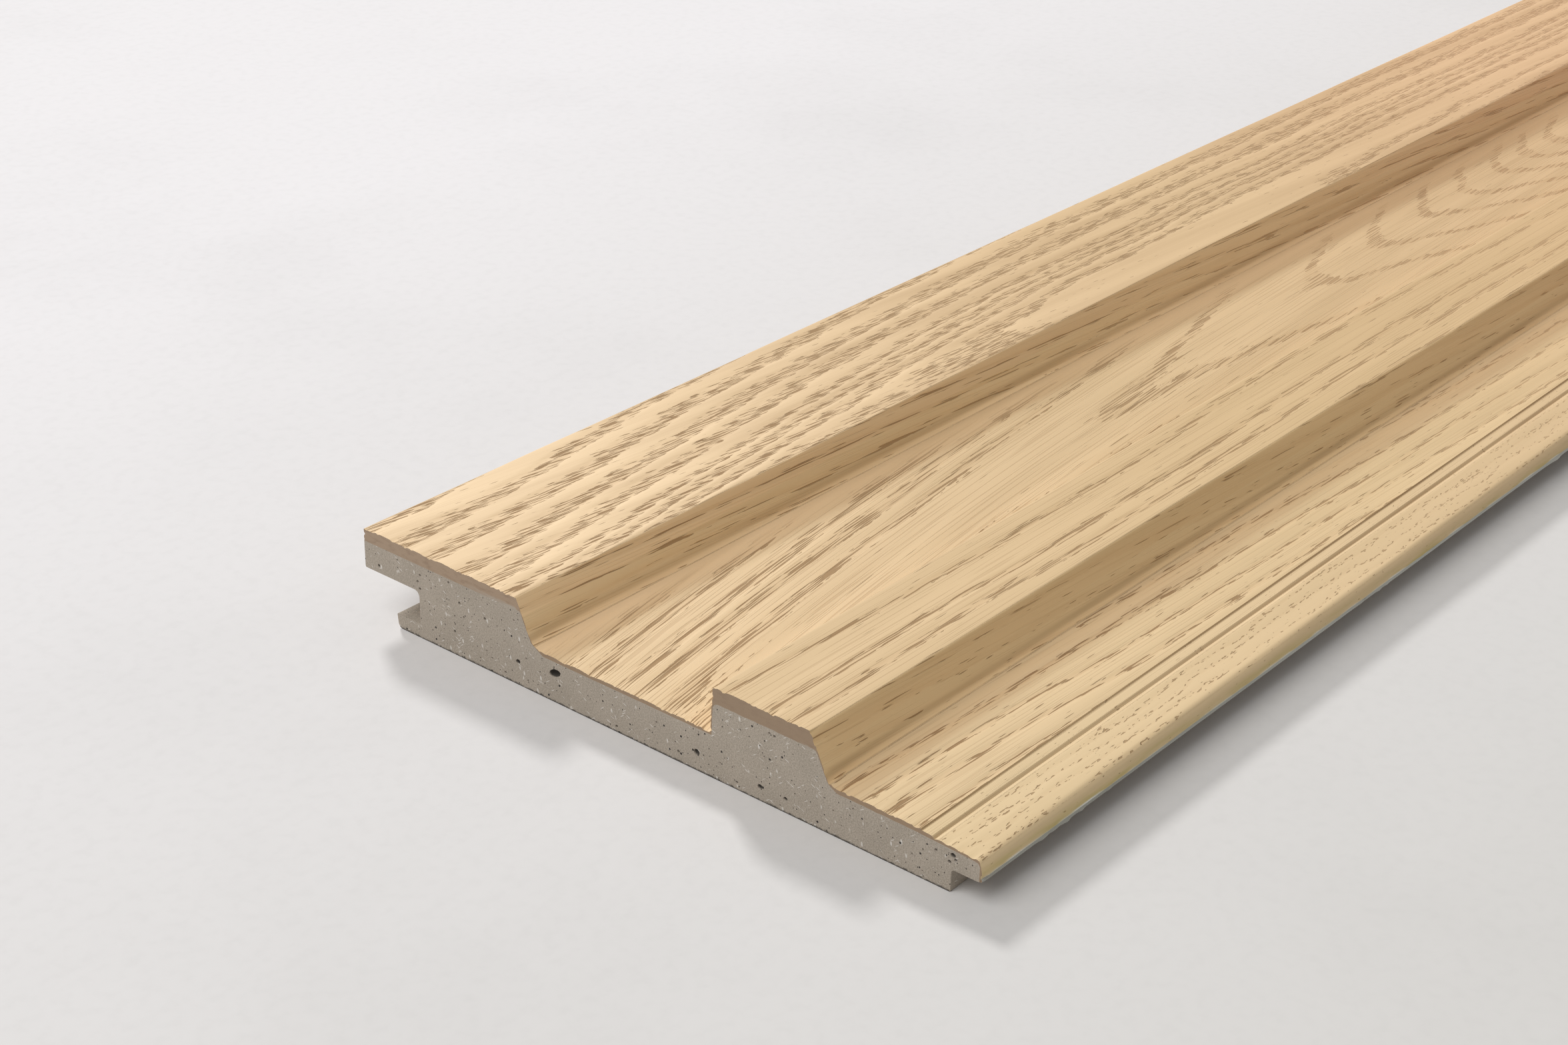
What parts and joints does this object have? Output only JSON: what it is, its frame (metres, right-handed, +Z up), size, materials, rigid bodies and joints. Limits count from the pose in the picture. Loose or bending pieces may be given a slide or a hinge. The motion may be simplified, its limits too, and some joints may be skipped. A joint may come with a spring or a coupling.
{
  "type": "board and batten cladding board",
  "caption": "Moulded cladding board with a wood-grained face of a wide raised plate, a raised batten and sunken channels, a grooved edge and a tongue edge.",
  "frame": {"origin": "middle of the board's length and width, on the flat back face", "axes": "+X along the board, +Y across it towards the grooved edge, +Z up out of the grained face"},
  "size_m": [3.6, 0.206, 0.026],
  "materials": {
    "core_resin": "grey mineral-filled resin with short pale glass fibres and small dark air voids, sawn flat at the ends",
    "grained_skin": "pale oak coloured facing resin, moulded with brushed wood grain and dark pores, matt"
  },
  "bodies": {
    "root": {"resin_core": "core_resin", "face_skin": "grained_skin"}
  },
  "joints": []
}
